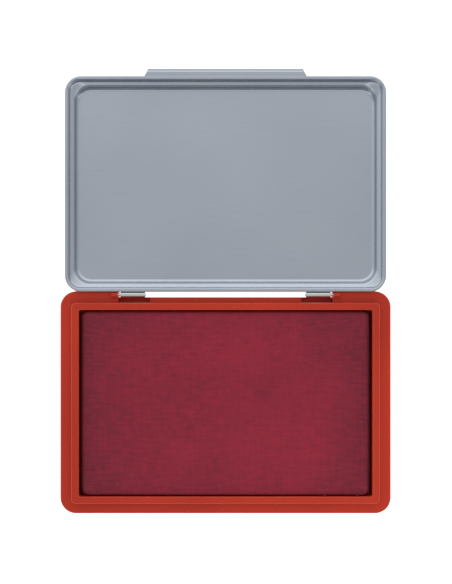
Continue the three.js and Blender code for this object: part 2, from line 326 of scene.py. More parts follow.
class Tree:
    """A node tree, with short calls that add nodes and join them."""

    def __init__(self, tree: NodeTree) -> None:
        """Wraps a tree."""
        self.tree = tree

    def put(self, socket: Socket, value: Value) -> None:
        """Sets an input to a constant, or joins it to another node's output."""
        if isinstance(value, Socket):
            self.tree.links.new(value, socket)
        else:
            socket.default_value = value

    def fill(self, inputs: Inputs, values: dict[str | int, Value]) -> None:
        """Sets or joins several inputs, by name or number."""
        for key, value in values.items():
            self.put(inputs[key], value)

    def node(
        self, kind: str, inputs: dict[str | int, Value] | None = None, **settings: object
    ) -> bpy.types.Node:
        """Adds a node.

        Args:
            kind: The node's type.
            inputs: What goes into its inputs, by name or number.
            **settings: Its own settings.

        Returns:
            The node.
        """
        made = self.tree.nodes.new(kind)
        for name, value in settings.items():
            setattr(made, name, value)
        self.fill(made.inputs, inputs or {})
        return made

    def math(self, operation: str, *values: Value) -> Socket:
        """The result of a Math node."""
        return self.node("ShaderNodeMath", dict(enumerate(values)), operation=operation).outputs[0]

    def times(self, value: Value, factor: Value, plus: Value | None = None) -> Socket:
        """A value times a factor, with a third value added if there is one."""
        if plus is None:
            return self.math("MULTIPLY", value, factor)
        return self.math("MULTIPLY_ADD", value, factor, plus)

    def blend(self, share: Value, low: Value, high: Value) -> Socket:
        """A colour between two others."""
        mix = self.node("ShaderNodeMix", data_type="RGBA")
        self.put(mix.inputs["Factor"], share)
        colours = [s for s in mix.inputs if s.type == "RGBA"]
        self.put(colours[0], low)
        self.put(colours[1], high)
        return next(s for s in mix.outputs if s.type == "RGBA")

    def spread(self, value: Value, to: Span, of: Span = WHOLE) -> Socket:
        """A value moved from one range to another, and kept inside it."""
        inputs = {"Value": value, "From Min": of[0], "From Max": of[1], "To Min": to[0], "To Max": to[1]}
        return self.node("ShaderNodeMapRange", inputs).outputs["Result"]

    def noise(self, place: Value, scale: Value, detail: float = 2.0, roughness: float = 0.5) -> Socket:
        """A soft noise from 0 to 1."""
        inputs = {"Vector": place, "Scale": scale, "Detail": detail, "Roughness": roughness}
        return self.node("ShaderNodeTexNoise", inputs).outputs["Fac"]

    def stretched(self, place: Value, factors: Triple) -> Socket:
        """A place multiplied along each axis."""
        return self.node("ShaderNodeVectorMath", {0: place, 1: factors}, operation="MULTIPLY").outputs[0]

    def attribute(self, name: str, output: str = "Fac") -> Socket:
        """What the mesh's points carry under a name."""
        return self.node("ShaderNodeAttribute", attribute_name=name).outputs[output]

    def effect(self, group: NodeTree, **inputs: Value) -> bpy.types.NodeOutputs:
        """The outputs of a shared effect, placed here."""
        return self.node("ShaderNodeGroup", inputs, node_tree=group).outputs


PLACE = "NodeSocketVector"
NUMBER = "NodeSocketFloat"


class Effect:
    """A shared effect: a shader node group, built once and placed in each material that uses it."""

    def __init__(self, name: str, inputs: dict[str, str], outputs: Sequence[str]) -> None:
        """Makes the group, with inputs of the given types and outputs that are all values."""
        self.tree = bpy.data.node_groups.new(name, "ShaderNodeTree")
        for label, kind in inputs.items():
            self.tree.interface.new_socket(label, in_out="INPUT", socket_type=kind)
        for label in outputs:
            self.tree.interface.new_socket(label, in_out="OUTPUT", socket_type=NUMBER)
        self.inside = Tree(self.tree)
        self.given = self.inside.node("NodeGroupInput").outputs
        self.result = self.inside.node("NodeGroupOutput").inputs

    def give(self, **results: Socket) -> NodeTree:
        """Joins the results to the group's outputs, and gives the group."""
        self.inside.fill(self.result, results)
        return self.tree


def tone_drift() -> NodeTree:
    """Slow changes of tone over a surface: Coarse over centimetres, Fine over millimetres."""
    made = Effect("tone_drift", {"Place": PLACE, "Scale": NUMBER}, ["Coarse", "Fine"])
    t, place, scale = made.inside, made.given["Place"], made.given["Scale"]
    return made.give(Coarse=t.noise(place, scale, 1.5), Fine=t.noise(place, t.times(scale, 9.0), 3.0, 0.6))


def specks() -> NodeTree:
    """Small scattered specks, such as dust or lint, as a mask that Density thins or thickens."""
    made = Effect("specks", {"Place": PLACE, "Scale": NUMBER, "Density": NUMBER}, ["Mask"])
    t, given = made.inside, made.given
    cells = t.node("ShaderNodeTexVoronoi", {"Vector": given["Place"], "Scale": given["Scale"]}).outputs
    dot = t.spread(cells["Distance"], (1.0, 0.0), (0.08, 0.22))
    pick = t.node("ShaderNodeSeparateColor", {"Color": cells["Color"]}).outputs[0]
    return made.give(Mask=t.times(dot, t.math("LESS_THAN", pick, given["Density"])))


def drawn_grain() -> NodeTree:
    """The fine grain that rolling leaves on sheet metal: long thin streaks along X."""
    made = Effect("drawn_grain", {"Place": PLACE, "Scale": NUMBER}, ["Streaks", "Scratches"])
    t, scale = made.inside, made.given["Scale"]
    along = t.stretched(made.given["Place"], (0.035, 1.0, 1.0))
    rare = t.noise(along, t.times(scale, 0.45), 2.0)
    return made.give(Streaks=t.noise(along, scale, 4.0, 0.65), Scratches=t.spread(rare, WHOLE, (0.66, 0.74)))


def plain_weave() -> NodeTree:
    """Plain weave, one thread over and one under: Height from 0 to 1, and which Thread is on top."""
    made = Effect("plain_weave", {"Place": PLACE, "Pitch": NUMBER}, ["Height", "Thread"])
    t, given = made.inside, made.given
    threads = t.math("DIVIDE", 1.0, given["Pitch"])
    split = t.node("ShaderNodeSeparateXYZ", {0: given["Place"]}).outputs
    x, y = (t.times(split[i], threads) for i in (0, 1))

    def strand(across: Socket, along: Socket, start: float) -> Socket:
        """The height of one set of threads, which rises over every second crossing."""
        width = t.math("ABSOLUTE", t.math("SINE", t.times(across, math.pi)))
        turn = t.math("ADD", t.math("ADD", along, t.math("FLOOR", across)), start)
        return t.times(width, t.times(t.math("COSINE", t.times(turn, math.pi)), 0.4, 0.6))

    warp, weft = strand(x, y, 0.5), strand(y, x, 1.5)
    return made.give(Height=t.math("MAXIMUM", warp, weft), Thread=t.math("GREATER_THAN", warp, weft))


@dataclass(frozen=True)
class Effects:
    """The shared effects, each made once."""

    drift: NodeTree = field(default_factory=tone_drift)
    specks: NodeTree = field(default_factory=specks)
    grain: NodeTree = field(default_factory=drawn_grain)
    weave: NodeTree = field(default_factory=plain_weave)


EFFECTS = Effects()


# --- Finishes ---


def colour(shown: Rgb) -> tuple[float, float, float, float]:
    """A display colour, each part from 0 to 255, as the linear colour that a shader takes."""

    def linear(part: float) -> float:
        """One part of the colour, linear."""
        share = part / 255
        return share / 12.92 if share <= 0.04045 else ((share + 0.055) / 1.055) ** 2.4

    return (*(linear(part) for part in shown), 1.0)


@dataclass(frozen=True)
class Finish:
    """A material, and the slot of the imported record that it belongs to."""

    slot: str

    @property
    def material(self) -> bpy.types.Material:
        """The material, made when it is first asked for."""
        name = f"fine_{self.slot}"
        found = bpy.data.materials.get(name)
        if found:
            return found
        made = bpy.data.materials.new(name)
        made.use_nodes = True
        tree = Tree(made.node_tree)
        shader = made.node_tree.nodes["Principled BSDF"]
        self.paint(tree, shader.inputs, tree.node("ShaderNodeTexCoord").outputs["Object"])
        return made

    def paint(self, tree: Tree, shader: Inputs, place: Socket) -> None:
        """Sets the shader's inputs. Each kind of finish has its own way."""
        raise NotImplementedError

    @staticmethod
    def relief(tree: Tree, shader: Inputs, height: Socket, depth: float) -> None:
        """Gives the surface a fine relief of a depth in metres."""
        bump = tree.node("ShaderNodeBump", {"Height": height, "Distance": depth, "Strength": 1.0})
        tree.put(shader["Normal"], bump.outputs["Normal"])


@dataclass(frozen=True)
class MouldedPlastic(Finish):
    """Moulded plastic: even colour, a faint flow mark, rubbed edges and a little dust."""

    body: Rgb = (206, 55, 29)
    shaded: Rgb = (192, 49, 25)
    rubbed: Rgb = (226, 100, 74)
    dust: Rgb = (214, 170, 160)
    pebble: float = 0.012 * MM

    def paint(self, tree: Tree, shader: Inputs, place: Socket) -> None:
        """Sets the shader's inputs."""
        drift = tree.effect(EFFECTS.drift, Place=place, Scale=26.0)
        dust = tree.effect(EFFECTS.specks, Place=place, Scale=900.0, Density=0.05)["Mask"]
        worn = tree.times(tree.attribute("edge"), tree.spread(drift["Fine"], (0.25, 0.75), MIDDLE))
        flow = tree.spread(drift["Coarse"], WHOLE, MIDDLE)
        base = tree.blend(flow, colour(self.shaded), colour(self.body))
        base = tree.blend(worn, base, colour(self.rubbed))
        base = tree.blend(tree.times(dust, 0.35), base, colour(self.dust))
        rough = tree.math("ADD", tree.spread(drift["Fine"], (0.36, 0.5), MIDDLE), tree.times(dust, 0.3))
        tree.fill(shader, {"Base Color": base, "Roughness": rough, "Specular IOR Level": 0.34})
        self.relief(tree, shader, tree.noise(place, 5200.0, 2.0, 0.6), self.pebble)


@dataclass(frozen=True)
class SheetMetal(Finish):
    """Sheet metal: the grain of rolling, slow changes of tone, fine scratches and smudges.

    Attributes:
        light: Its lightest tone.
        dark: Its darkest tone.
        smooth: The lowest roughness.
        rough: The highest roughness.
        grain: The scale of the grain, in streaks for each metre.
        grain_depth: The depth of the grain.
    """

    light: Rgb = (213, 219, 228)
    dark: Rgb = (200, 207, 218)
    smooth: float = 0.2
    rough: float = 0.26
    grain: float = 2600.0
    grain_depth: float = 0.0012 * MM

    def paint(self, tree: Tree, shader: Inputs, place: Socket) -> None:
        """Sets the shader's inputs."""
        drift = tree.effect(EFFECTS.drift, Place=place, Scale=18.0)
        grain = tree.effect(EFFECTS.grain, Place=place, Scale=self.grain)
        streaks = grain["Streaks"]
        tone = tree.spread(tree.times(streaks, 0.35, tree.times(drift["Coarse"], 0.65)), WHOLE, MIDDLE)
        smudge = tree.times(drift["Fine"], 0.5, tree.times(streaks, 0.5))
        rough = tree.spread(smudge, (self.smooth, self.rough), MIDDLE)
        tree.fill(shader, {
            "Base Color": tree.blend(tone, colour(self.dark), colour(self.light)),
            "Metallic": 1.0,
            "Roughness": tree.times(grain["Scratches"], 0.015, rough),
        })
        self.relief(tree, shader, streaks, self.grain_depth)


@dataclass(frozen=True)
class InkedCloth(Finish):
    """Cotton in plain weave, soaked with red ink, with painted shade in the weave's hollows, along the edges
    and down the sides.
    """

    pale: Rgb = (172, 47, 67)
    deep: Rgb = (107, 40, 53)
    # the colour of the painted shade in the weave's hollows, along the edges and down the sides
    soaked: Rgb = (78, 28, 46)
    lint: Rgb = (196, 110, 126)
    fuzz: Rgb = (206, 120, 140)
    pitch: float = 0.46 * MM
    thread_depth: float = 0.05 * MM

    def paint(self, tree: Tree, shader: Inputs, place: Socket) -> None:
        """Sets the shader's inputs."""
        threads = tree.attribute("threads", "Vector")
        wander = tree.noise(threads, 160.0, 1.0)
        sideways = tree.node("ShaderNodeCombineXYZ", {0: wander, 1: wander}).outputs[0]
        bent = {0: sideways, 1: (self.pitch,) * 3, 2: threads}
        bent = tree.node("ShaderNodeVectorMath", bent, operation="MULTIPLY_ADD").outputs[0]
        weave = tree.effect(EFFECTS.weave, Place=bent, Pitch=self.pitch)
        drift = tree.effect(EFFECTS.drift, Place=place, Scale=42.0)
        slub, warp = (
            tree.noise(tree.stretched(threads, by), 900.0, 3.0)
            for by in ((0.2, 1.0, 1.0), (1.0, 0.16, 1.0))
        )
        lint = tree.effect(EFFECTS.specks, Place=place, Scale=420.0, Density=0.04)["Mask"]
        mottle = tree.times(drift["Fine"], 0.2, tree.times(drift["Coarse"], 0.3))
        mottle = tree.times(slub, 0.35, tree.times(warp, 0.2, mottle))
        mottle = tree.times(tree.attribute("dry"), 0.42, tree.spread(mottle, (0.04, 0.62), (0.4, 0.65)))
        base = tree.blend(mottle, colour(self.deep), colour(self.pale))
        # Painted shade: the weave's hollows, and the edges and sides that the mesh marks, are darkened
        # towards the shade colour.
        hollow = tree.spread(weave["Height"], (0.3, 0.0), (0.15, 0.75))
        for dark in (hollow, tree.attribute("soak")):
            base = tree.blend(dark, base, colour(self.soaked))
        tree.fill(shader, {
            "Base Color": tree.blend(tree.times(lint, 0.16), base, colour(self.lint)),
            "Roughness": tree.spread(weave["Height"], (0.92, 0.72)),
            "Specular IOR Level": 0.25,
            "Sheen Weight": 0.12,
            "Sheen Roughness": 0.5,
            "Sheen Tint": colour(self.fuzz),
        })
        self.relief(tree, shader, tree.times(slub, 0.3, weave["Height"]), self.thread_depth)


@dataclass(frozen=True)
class InkedFelt(Finish):
    """Wool felt soaked with ink: matted fibres and uneven patches."""

    pale: Rgb = (112, 32, 50)
    deep: Rgb = (78, 20, 34)
    fibre_depth: float = 0.12 * MM

    def paint(self, tree: Tree, shader: Inputs, place: Socket) -> None:
        """Sets the shader's inputs."""
        drift = tree.effect(EFFECTS.drift, Place=place, Scale=60.0)
        fibres, crossed = (
            tree.noise(tree.stretched(place, by), 2400.0, 4.0, 0.7)
            for by in ((0.3, 1.0, 1.0), (1.0, 0.3, 1.0))
        )
        matted = tree.times(tree.math("ADD", fibres, crossed), 0.5)
        tone = tree.spread(tree.times(matted, 0.5, tree.times(drift["Coarse"], 0.5)), WHOLE, (0.35, 0.65))
        tree.fill(shader, {
            "Base Color": tree.blend(tone, colour(self.deep), colour(self.pale)),
            "Roughness": tree.spread(drift["Fine"], (0.85, 1.0)),
            "Sheen Weight": 0.3,
        })
        self.relief(tree, shader, matted, self.fibre_depth)


@dataclass(frozen=True)
class GreyBoard(Finish):
    """Grey card: pulp flecks, and patches of ink soaked in from above."""

    pulp: Rgb = (150, 143, 132)
    fleck: Rgb = (112, 104, 96)
    stain: Rgb = (124, 58, 66)
    pulp_depth: float = 0.03 * MM

    def paint(self, tree: Tree, shader: Inputs, place: Socket) -> None:
        """Sets the shader's inputs."""
        drift = tree.effect(EFFECTS.drift, Place=place, Scale=70.0)
        flecks = tree.effect(EFFECTS.specks, Place=place, Scale=1400.0, Density=0.3)["Mask"]
        base = tree.blend(tree.times(flecks, 0.6), colour(self.pulp), colour(self.fleck))
        stain = tree.spread(drift["Coarse"], (0.0, 0.7), (0.5, 0.75))
        tree.fill(shader, {
            "Base Color": tree.blend(stain, base, colour(self.stain)),
            "Roughness": tree.spread(drift["Fine"], (0.85, 0.98)),
        })
        self.relief(tree, shader, tree.noise(place, 3000.0, 3.0), self.pulp_depth)


RED_PLASTIC = MouldedPlastic("red_plastic")
LID_METAL = SheetMetal("lid_metal")
BARE_STEEL = SheetMetal(
    "bare_steel", light=(226, 227, 226), dark=(204, 206, 204), smooth=0.16, rough=0.26, grain=4200.0
)
INKED_CLOTH = InkedCloth("inked_cloth")
INKED_FELT = InkedFelt("inked_felt")
GREY_BOARD = GreyBoard("grey_board")


# --- Tray ---


@dataclass
class Tray:
    """The moulded tray: ledge, upstand, well, hinge recess, pin lugs and the ribbed underside."""

    well_length: float = 110.2 * MM
    well_width: float = 70 * MM
    well_corner: float = 0.8 * MM
    well_floor: float = 2 * MM
    end_wall: float = 2.9 * MM
    side_wall: float = 2.75 * MM
    upstand_corner: float = 1.8 * MM
    tray_corner: float = 6 * MM
    ledge: float = 8 * MM
    ledge_front: float = 4 * MM
    outer_edge: float = 0.5 * MM
    foot_edge: float = 0.4 * MM
    crest_edge: float = 0.35 * MM
    mouth_edge: float = 0.3 * MM
    root_fillet: float = 0.3 * MM
    draft: float = 0.08 * MM
    corner_steps: int = 14
    edge_steps: int = 4
    bar_steps: int = 32
    hinge_from_end: float = 27.45 * MM
    knuckle_length: float = 9.25 * MM
    knuckle_end_gap: float = 0.95 * MM
    recess_depth: float = 2.35 * MM
    pocket_margin: float = 1.8 * MM
    pocket_floor: float = 3 * MM
    pin_radius: float = 0.5 * MM
    lug_wall: float = 0.4 * MM
    lug_length: float = 2.5 * MM
    bore_depth: float = 2.13 * MM
    bore_gap: float = 0.03 * MM
    skirt: float = 1.8 * MM
    rib: float = 2 * MM
    hollow_edge: float = 0.4 * MM
    front_pockets: int = 7
    end_pockets: int = 5
    overcut: float = 1 * MM

    def __post_init__(self) -> None:
        """Takes the overall size and the hinge line from the frame."""
        low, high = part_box("base_tray")
        self.length, self.width = high.x - low.x, high.y - low.y
        self.rear, self.top = high.y, high.z
        upstand_length = self.well_length + 2 * self.end_wall
        upstand_width = self.well_width + 2 * self.side_wall
        well_y = -self.rear + self.ledge_front + upstand_width / 2
        self.foot = Outline(self.length, self.width, self.tray_corner, 0)
        self.upstand = Outline(upstand_length, upstand_width, self.upstand_corner, well_y)
        self.well = Outline(self.well_length, self.well_width, self.well_corner, well_y)
        self.upstand_rear = well_y + upstand_width / 2
        self.hinge = Vector(frame["joints"][0]["pos_m"])
        self.hinge_x = self.length / 2 - self.hinge_from_end
        self.lug_face = self.hinge_x + self.knuckle_length / 2 + self.knuckle_end_gap
        self.pocket_inner = self.hinge_x - self.knuckle_length / 2 - self.pocket_margin

    def outlines(self) -> list[Outline]:
        """The moulding's outlines, from its underside over the ledge and upstand to the well's floor."""
        arc = quarter_arc(self.edge_steps)
        worn = [(at, math.sin(math.pi * i / self.edge_steps)) for i, at in enumerate(arc)]
        foot, upstand, well = self.foot.drawn_in, self.upstand.drawn_in, self.well.drawn_in
        outer, crest, mouth = self.outer_edge, self.crest_edge, self.mouth_edge
        root, draft = self.root_fillet, self.draft
        rows = [foot(self.foot_edge * (1 - x), self.foot_edge * (1 - y)) for y, x in arc]
        rows += [foot(draft + outer * (1 - x), self.ledge - outer * (1 - y), e) for (x, y), e in worn]
        rows += [upstand(-root * (1 - y), self.ledge + root * (1 - x)) for x, y in arc]
        rows += [upstand(draft + crest * (1 - x), self.top - crest * (1 - y), e) for (x, y), e in worn]
        rows += [well(-mouth * (1 - y), self.top - mouth * (1 - x), e) for (x, y), e in worn]
        fillet = 2 * root
        rows += [well(draft + fillet * (1 - x), self.well_floor + fillet * (1 - y)) for x, y in arc]
        return rows

    def underside_pockets(self) -> list[Mesh]:
        """The hollows moulded into the underside, with ribs left between them."""
        roof = self.ledge - self.skirt
        wall_x = self.upstand.length / 2
        skirt_x, skirt_y = self.length / 2 - self.skirt, self.width / 2 - self.skirt
        end_x, end_y = self.length / 2 - self.tray_corner, self.width / 2 - self.tray_corner

        def hollow(x0: float, x1: float, y0: float, y1: float) -> Mesh:
            """One hollow, with its edges rounded."""
            return block(Vector((x0, y0, -self.overcut)), Vector((x1, y1, roof)), self.hollow_edge)

        def row(start: float, end: float, count: int) -> list[Span]:
            """Where each hollow of a row starts and ends."""
            pitch = (end - start + self.rib) / count
            return [(start + i * pitch, start + (i + 1) * pitch - self.rib) for i in range(count)]

        rear_x = self.lug_face + self.lug_length
        front_y = self.well.middle_y - self.upstand.width / 2
        made = [hollow(a, b, -skirt_y, front_y) for a, b in row(-end_x, end_x, self.front_pockets)]
        for a, b in row(-end_y, end_y, self.end_pockets):
            made += [hollow(wall_x, skirt_x, a, b), hollow(-skirt_x, -wall_x, a, b)]
        for x0, x1 in ((rear_x, end_x), (-end_x, -rear_x)):
            made.append(hollow(x0, x1, self.upstand_rear, skirt_y))
        return made

    def lug(self, side: Side) -> Mesh:
        """A lug on the ledge that holds one pin: a foot with a half-round top."""
        radius = self.pin_radius + self.lug_wall
        ends = side.span(self.lug_face, self.lug_face + self.lug_length)
        bm = bar_along_x(radius, ends, self.hinge, self.bar_steps)
        for point in [v for v in bm.verts if v.co.z < self.hinge.z - 0.01 * MM]:
            point.co.z = self.ledge - self.skirt / 2
            point.co.y = self.hinge.y + math.copysign(radius, point.co.y - self.hinge.y)
        bmesh.ops.remove_doubles(bm, verts=bm.verts, dist=WELD)
        bmesh.ops.dissolve_limit(bm, angle_limit=math.radians(0.5), verts=bm.verts, edges=bm.edges)
        bmesh.ops.recalc_face_normals(bm, faces=bm.faces)
        return bm

    def bore(self, side: Side) -> Mesh:
        """The blind hole in a lug that the pin is pressed into."""
        ends = side.span(self.lug_face - self.overcut, self.lug_face + self.bore_depth)
        return bar_along_x(self.pin_radius + self.bore_gap, ends, self.hinge, self.bar_steps)

    def recess(self) -> Mesh:
        """The gap along the rear between the two lugs, right through the ledge."""
        return block(
            Vector((-self.lug_face, self.rear - self.recess_depth, -self.overcut)),
            Vector((self.lug_face, self.rear + self.overcut, self.top + self.overcut)),
        )

    def knuckle_pocket(self, side: Side) -> Mesh:
        """The deeper pocket behind a knuckle, closed below."""
        left, right = side.span(self.pocket_inner, self.lug_face)
        return block(
            Vector((left, self.upstand_rear, self.pocket_floor)),
            Vector((right, self.rear, self.top + self.overcut)),
        )

    def build(self) -> Piece:
        """Builds the moulding."""
        tray = to_object(loft(self.outlines(), self.corner_steps, capped=True), "tray_moulding")
        for side in Side:
            combine(tray, self.lug(side), Cut.JOIN)
        combine(tray, self.recess(), Cut.REMOVE)
        for side in Side:
            combine(tray, self.knuckle_pocket(side), Cut.REMOVE)
            combine(tray, self.bore(side), Cut.REMOVE)
        for hollow in self.underside_pockets():
            combine(tray, hollow, Cut.REMOVE)
        with opened(tray.data) as bm:
            bmesh.ops.remove_doubles(bm, verts=bm.verts, dist=WELD)
        shade(tray)
        dress(tray, RED_PLASTIC, "tray", "base_tray")
        return tray


# --- Pad ---


def smooth_step(low: float, high: float, value: float) -> float:
    """0 below low, 1 above high, and a smooth rise between."""
    share = min(1.0, max(0.0, (value - low) / (high - low)))
    return share * share * (3 - 2 * share)


@dataclass
class Pad:
    """The pad: a backing board, a felt block, and the woven cover that is stretched over both."""

    fullness: Span = (0.55 * MM, 0.33 * MM)
    cloth: float = 0.36 * MM
    hem: float = 7 * MM
    corner: float = 2.2 * MM
    corner_steps: int = 6
    edge: float = 1.25 * MM
    voxel: float = 1.2 * MM
    crown: float = 0.28 * MM
    crown_reach: float = 14 * MM
    sideways: float = 0.3
    pull_in: float = 0.22 * MM
    pull_in_along: float = 0.4
    pull_reach: float = 3 * MM
    wave: float = 7 * MM
    crinkle: float = 2.2 * MM
    swell_width: float = 16 * MM
    board: float = 0.8 * MM
    board_gap: float = 0.2 * MM
    board_edge: float = 0.12 * MM
    felt_voxel: float = 1.6 * MM
    felt_gap: float = 0.12 * MM
    felt_rough: float = 0.04 * MM
    pressure: float = 4.0
    frames: int = 20
    lint_radius: float = 0.09 * MM
    lint_seed: int = 1
    tufts: tuple[tuple[float, int], ...] = ((37.3 * MM, 6), (49.6 * MM, 5), (-21.4 * MM, 2))

    def __post_init__(self) -> None:
        """Takes the pad's room from the frame."""
        low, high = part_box("pad_cloth")
        full = Vector((*self.fullness, 0))
        self.low, self.high = low - full, high + full
        self.middle = (self.low + self.high) / 2
        self.half = (self.high - self.low) / 2

    def edge_distance(self, x: float, y: float) -> float:
        """How far a point in plan is inside the cover's round-cornered outline."""
        dx = abs(x - self.middle.x) - (self.half.x - self.corner)
        dy = abs(y - self.middle.y) - (self.half.y - self.corner)
        outside = math.hypot(max(dx, 0.0), max(dy, 0.0))
        return self.corner - outside - min(max(dx, dy), 0.0)

    def slab(self, inset: float, low: float, high: float, corner_steps: int) -> Mesh:
        """A block between two heights, drawn in from the cover's outline, with round corners in plan."""
        reach = Vector((self.half.x - inset, self.half.y - inset, 0))
        flat = Vector((self.middle.x, self.middle.y, 0))
        bm = block(flat - reach + Vector((0, 0, low)), flat + reach + Vector((0, 0, high)))
        uprights = [e for e in bm.edges if abs(e.verts[0].co.z - e.verts[1].co.z) > TINY]
        round_edges(bm, uprights, self.corner - inset, corner_steps)
        return bm

    def soft_slab(self, name: str, inset: float, low: float, high: float, voxel: float) -> Piece:
        """A slab with a round upper edge, evenly meshed with cells of one size."""
        bm = self.slab(inset, low, high, self.corner_steps)
        rims = [e for e in bm.edges if min(v.co.z for v in e.verts) > high - TINY]
        round_edges(bm, rims, self.edge, 4)
        made = to_object(bm, name)
        remesh = made.modifiers.new("even_cells", "REMESH")
        remesh.mode = "VOXEL"
        remesh.voxel_size = voxel
        settle(made)
        return made

    def swell(self, cover: Piece) -> None:
        """Presses the cover out from inside, held at its underside, and limits how far it moves."""
        rest = [v.co.copy() for v in cover.data.vertices]
        held = cover.vertex_groups.new(name="held")
        for i, point in enumerate(rest):
            share = 1 - smooth_step(self.low.z + 1 * MM, self.high.z - self.edge, point.z)
            held.add([i], max(share, 0.0), "REPLACE")
        cloth = cover.modifiers.new("stretch", "CLOTH")
        cloth.settings.quality = 6
        cloth.settings.mass = 0.1
        cloth.settings.vertex_group_mass = "held"
        cloth.settings.use_pressure = True
        cloth.settings.uniform_pressure_force = self.pressure
        cloth.settings.effector_weights.gravity = 0
        cloth.point_cache.frame_start = 1
        cloth.point_cache.frame_end = self.frames
        for number in range(1, self.frames + 1):
            bpy.context.scene.frame_set(number)
        settle(cover)
        bpy.context.scene.frame_set(1)
        cover.vertex_groups.clear()
        for point, start in zip(cover.data.vertices, rest):
            move = point.co - start
            far = move.length
            if far > 0:
                move.xy *= self.sideways
                point.co = start + move * (self.crown * (1 - math.exp(-far / self.crown)) / far)

    def tug(self, cover: Piece) -> None:
        """Draws the cloth in unevenly along its edges, and gives its top slight unevenness."""
        for point in cover.data.vertices:
            place = point.co - self.middle
            near = 1 - smooth_step(0, self.pull_reach, self.edge_distance(point.co.x, point.co.y))
            wave = noise.noise(Vector((place.x, place.y, 0)) / self.wave)
            fine = noise.noise(Vector((place.x, place.y, place.z)) / self.crinkle + Vector((9, 4, 2)))
            across, along = -place.x / self.half.x, -place.y / self.half.y
            if abs(across) > abs(along):
                inward, pull_in = Vector((math.copysign(1, across), 0, 0)), self.pull_in
            else:
                inward, pull_in = Vector((0, math.copysign(1, along), 0)), self.pull_in_along * self.pull_in
            point.co += inward * near * (pull_in * (0.5 + 0.5 * wave) + 0.06 * MM * (0.5 + 0.5 * fine))
            top = smooth_step(self.high.z - self.edge, self.high.z - 0.2 * MM, point.co.z)
            low_wave = noise.noise(Vector((place.x, place.y, 5)) / self.swell_width)
            uneven = 0.07 * MM * low_wave + 0.035 * MM * wave
            point.co.z += top * (uneven - 0.12 * MM * near * (0.5 + 0.5 * fine))

    def open_underside(self, cover: Piece) -> None:
        """Cuts the middle out of the cover's underside, so that only its hem turns under the board."""
        limit = self.low.z + 0.5 * self.voxel

        def inner(middle: Vector) -> bool:
            """Whether a face with this middle is underneath, further in than the hem."""
            return middle.z < limit and self.edge_distance(*middle.xy) > self.hem

        with opened(cover.data) as bm:
            inside = [f for f in bm.faces if inner(f.calc_center_median())]
            bmesh.ops.delete(bm, geom=inside, context="FACES")

    def mark_threads(self, cover: Piece) -> None:
        """Writes where each point lies on the flat cloth, how much painted shade it takes along the edges
        and sides, and how dry it is.
        """
        kinds = {"threads": "FLOAT_VECTOR", "soak": "FLOAT", "dry": "FLOAT"}
        for name, kind in kinds.items():
            cover.data.attributes.new(name, kind, "POINT")
        threads, soak, dry = (cover.data.attributes[name] for name in kinds)
        for i, point in enumerate(cover.data.vertices):
            drop = max(0.0, self.high.z - point.co.z)
            inside = self.edge_distance(point.co.x, point.co.y)
            flat = Vector((point.normal.x, point.normal.y))
            lean = flat.normalized() if flat.length > 0.2 else Vector((0, 0))
            threads.data[i].vector = (point.co.x + lean.x * drop, point.co.y + lean.y * drop, 0)
            uneven = 0.5 + 0.5 * noise.noise(point.co / (5 * MM))
            # Painted shade: darker along the top's rounded edge and down the sides, which stand in the
            # narrow gap to the well wall; weaker along the front and rear than at the two ends.
            rim = 1 - smooth_step(0.2 * MM, (1.1 + 1.1 * uneven) * MM, inside)
            side = smooth_step(0.25 * MM, 1.6 * MM, drop)
            across = self.half.x - abs(point.co.x - self.middle.x)
            along = self.half.y - abs(point.co.y - self.middle.y)
            at_end = smooth_step(-1.5 * MM, 1.5 * MM, along - across)
            soak.data[i].value = max(0.75 * rim, side) * (0.4 + 0.6 * at_end)
            from_ends = smooth_step(0, 30 * MM, across)
            dry.data[i].value = 0.35 * smooth_step(0, 18 * MM, inside) + 0.65 * from_ends

    def build_cover(self) -> Piece:
        """Builds the woven cover as one sheet of cloth, stretched over the felt and turned under."""
        top = self.high.z - self.crown / 2
        cover = self.soft_slab("pad_cover", 0.0, self.low.z, top, self.voxel)
        self.swell(cover)
        self.tug(cover)
        self.open_underside(cover)
        thick = cover.modifiers.new("cloth_thickness", "SOLIDIFY")
        thick.thickness = self.cloth
        thick.offset = -1
        finer = cover.modifiers.new("finer_cells", "SUBSURF")
        finer.levels = finer.render_levels = 1
        settle(cover)
        self.mark_threads(cover)
        smooth(cover)
        dress(cover, INKED_CLOTH, "tray", "pad_cloth")
        return cover

    def build_felt(self) -> Piece:
        """Builds the felt block: an uneven soft slab under the cover."""
        low = self.low.z + self.cloth + self.board + 0.15 * MM
        gap = self.cloth + self.felt_gap
        felt = self.soft_slab("felt_block", gap, low, self.high.z - gap - self.crown / 2, self.felt_voxel)
        rough = self.felt_rough
        for point in felt.data.vertices:
            point.co += point.normal * (rough * noise.noise(point.co / (2.5 * MM)) - rough)
        smooth(felt)
        dress(felt, INKED_FELT, "tray", "pad_felt")
        return felt

    def build_board(self) -> Piece:
        """Builds the backing board, with its punched edges slightly rounded."""
        low = self.low.z + self.cloth + 0.05 * MM
        bm = self.slab(self.cloth + self.board_gap, low, low + self.board, 8)
        round_edges(bm, sharp_edges(bm, SQUARE_FOLD), self.board_edge, 3)
        made = to_object(bm, "backing_board")
        shade(made)
        dress(made, GREY_BOARD, "tray", "pad_backing")
        return made

    def build_lint(self) -> Piece:
        """Builds the loose thread ends that stand out of the cloth's front edge."""
